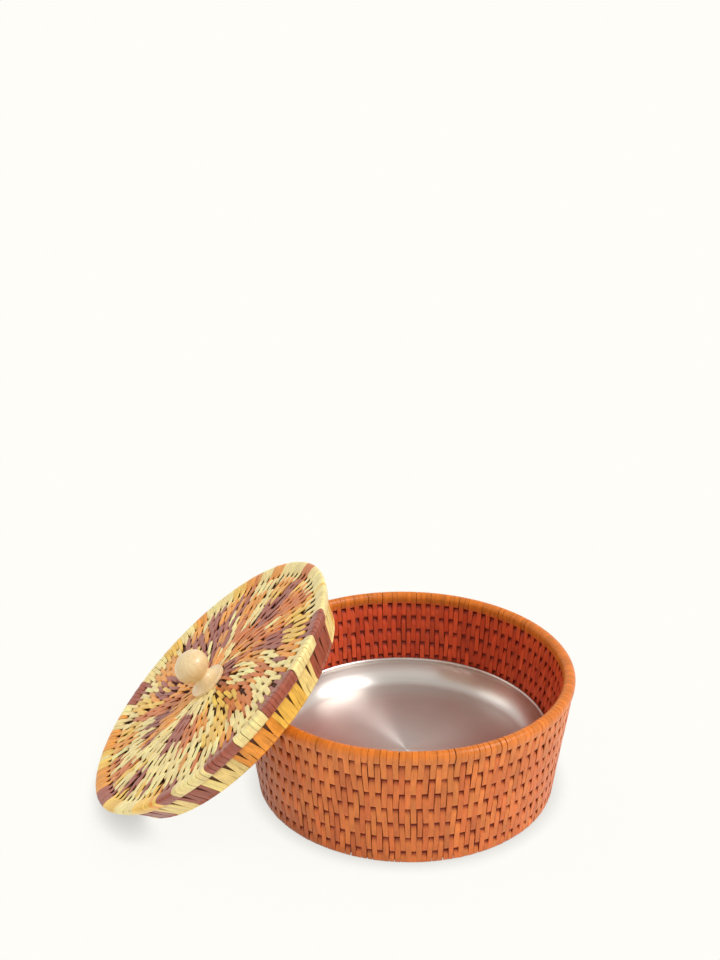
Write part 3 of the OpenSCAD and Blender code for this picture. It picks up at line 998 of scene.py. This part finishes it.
# Dish: flat floor, a side that rises like a quarter ellipse, and a rolled bead along its rim
def dishPiece():
    corners = nodePoints("steel_dish")
    cornerR = np.hypot(corners[:, 0], corners[:, 1])
    floorZ = corners[:, 2].min()
    flatR = cornerR[corners[:, 2] < floorZ + 0.01].max()
    rimR, topZ = cornerR.max(), corners[:, 2].max()
    sheet, bead, around = dishSizes["sheet"], dishSizes["bead"], dishSizes["around"]
    t = np.radians(np.linspace(0, dishSizes["steep"], 22))
    sideH = (topZ - bead - floorZ) / (1 - math.cos(t[-1]))
    sideW = (rimR - bead - flatR) / math.sin(t[-1])
    outR, outZ = flatR + sideW * np.sin(t), floorZ + sideH * (1 - np.cos(t))
    inR, inZ = flatR + (sideW - sheet) * np.sin(t), floorZ + sideH - (sideH - sheet) * np.cos(t)
    roll = np.radians(np.linspace(-60, 205, 18))
    beadR, beadZ = rimR - bead + bead * np.cos(roll), topZ - bead + bead * np.sin(roll)
    inner = np.concatenate([np.linspace(0.05, flatR * 0.96, 40), [flatR * 0.985]])
    under = np.concatenate([np.linspace(0.05, flatR * 0.96, 8), [flatR * 0.985]])
    r = np.concatenate([under, outR, beadR, inR[:-1][::-1], inner[::-1]])
    z = np.concatenate([0 * under + floorZ, outZ, beadZ, inZ[:-1][::-1], 0 * inner + floorZ + sheet])
    piece = turnedPiece("spunDish", r, z, steel, around)
    # its own map: u runs round the dish and v outwards; the last quads end at u = 1 and not at 0
    layer = piece.data.uv_layers.new(name="turned")
    loopVertex = np.empty(len(piece.data.loops), np.int32)
    piece.data.loops.foreach_get("vertex_index", loopVertex)
    j, i = loopVertex // len(r), loopVertex % len(r)
    firstJ = np.repeat(j.reshape(-1, 4)[:, :1], 4, axis=1).ravel()
    wrapped = np.where((firstJ == around - 1) & (j == 0), around, j)
    uv = np.stack([wrapped / around, r[i] / 100], -1)
    layer.data.foreach_set("uv", uv.astype(np.float32).ravel())
    return piece


# small round knots that close the middle of the basket's floor, seen from below and from above
knotCane = coreMaterial("dyed cane knot", "#B4562C")
knotR = np.array([0.01, 3.0, 5.6, 6.2, 6.2, 5.6, 3.0, 0.01])
knotZ = np.array([0, 0, 0.1, 0.35, 0.55, 0.8, 0.9, 0.9])
for name, low, slot in (("knotBelow", 0.1, "wall_cane"), ("knotAbove", floorTop - 1.0, "inner_cane")):
    knot = turnedPiece(name, knotR, low + knotZ, knotCane, 48)
    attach(knot, "basket")


dish = dishPiece()
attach(dish, "dish")
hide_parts("steel_dish")
print("knob, knots and dish turned")


# pinhole camera fitted to the photograph: its place in metres, degrees that it looks down, and pixels
camera = dict(place=(-0.0326, -0.8731, 0.5745), down=21.67, focal=1415, frameLong=960)
cam = bpy.data.objects.new("camera", bpy.data.cameras.new("camera"))
cam.data.sensor_width = 36
cam.data.lens = 36 * camera["focal"] / camera["frameLong"]
cam.location = camera["place"]
cam.rotation_euler = (math.radians(90 - camera["down"]), 0, 0)
cam.data.clip_end = 100
bpy.context.scene.collection.objects.link(cam)
bpy.context.scene.camera = cam

# Even studio light: a white surround, one broad soft lamp high on the right and a weak one on the left
studio = dict(
    surround=0.70,
    ceiling=0.7,            # brightness of the surround straight above, as a share of that at the sides
    # each lamp: strength, degrees that it covers seen from the object, degrees above the floor, and the
    # direction it comes from, turned from +X
    key=(1.95, 28, 57, -12),
    fill=(0.15, 24, 45, 168),
)
world = bpy.data.worlds.new("studio")
bpy.context.scene.world = world
world.use_nodes = True
skyTree = world.node_tree
level = mapSpan(skyTree, seenDirectly(skyTree), (0.0, 1.0), (studio["surround"], 1.0))
# the studio's ceiling is darker than its sides: from 30 degrees up it fades towards straight above
ray = addNode(skyTree, "TexCoord")
height = addNode(skyTree, "SeparateXYZ", links={"Vector": ray.outputs["Generated"]})
fade = mapSpan(skyTree, height.outputs["Z"], (0.5, 1.0), (1.0, studio["ceiling"]),
               {"interpolation_type": "SMOOTHSTEP"})
fillNode(skyTree, skyTree.nodes["Background"], {"Color": (*toLinear("#FFFEFA"), 1)},
         {"Strength": reckon(skyTree, "MULTIPLY", level, fade)})

for name in ("key", "fill"):
    strength, wide, high, turned = studio[name]
    lamp = bpy.data.lights.new(name, "SUN")
    lamp.energy = strength
    lamp.angle = math.radians(wide)
    lampObject = bpy.data.objects.new(name, lamp)
    lampObject.rotation_euler = (math.radians(90 - high), 0, math.radians(turned + 90))
    bpy.context.scene.collection.objects.link(lampObject)


# Pale floor. For the camera it is part white glow and part lit surface, so that it is as white as the
# photograph's and still takes the object's shadow.
def floorMaterial():
    material, tree, shader = newMaterial("pale studio floor")
    output = [node for node in tree.nodes if node.type == "OUTPUT_MATERIAL"][0]
    fillNode(tree, shader, {"Base Color": (*toLinear("#F4F3EE"), 1), "Roughness": 0.9,
                            "Specular IOR Level": 0.0}, None)
    # the shade right under the object: the share of open sky within 25 mm
    openSky = addNode(tree, "AmbientOcclusion", {"samples": 8}, {"Distance": 0.025}).outputs["AO"]
    glow = addNode(tree, "Emission", values={"Color": (*toLinear("#FEFDF8"), 1)},
                   links={"Strength": mapSpan(tree, openSky, (0.2, 0.75), (0.6, 1.0))})
    # for direct looks the floor is 95 percent glow
    share = reckon(tree, "MULTIPLY", seenDirectly(tree), 0.95)
    blend = addNode(tree, "MixShader",
                    links={"Fac": share, 1: shader.outputs["BSDF"], 2: glow.outputs["Emission"]})
    tree.links.new(blend.outputs["Shader"], output.inputs["Surface"])
    return material


# the floor is 40 m wide, so that its edge is out of sight
points = np.array([[-20, -20, 0], [20, -20, 0], [20, 20, 0], [-20, 20, 0]]) / mm
floor = meshObject("floor", points, np.arange(4), np.array([4]), floorMaterial())
print("camera, lamps and floor set")

# the solids that stay in the scene lie inside the weave: cane hoops and rings, and the knob's screw
zinc = coreMaterial("zinc plated screw steel", "#C6C8CC")
fillNode(zinc.node_tree, zinc.node_tree.nodes["Principled BSDF"], {"Metallic": 1.0, "Roughness": 0.35}, None)
for name, node in frame["nodes"].items():
    core = {"basket": darkCore, "lid": strawCore, "dish": steel}[node["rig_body"]]
    if name in ("knob_screw", "knob_washer"):
        core = zinc
    node.data.materials.clear()
    node.data.materials.append(core)

bpy.context.scene.view_settings.view_transform = "Standard"
print("scene ready")
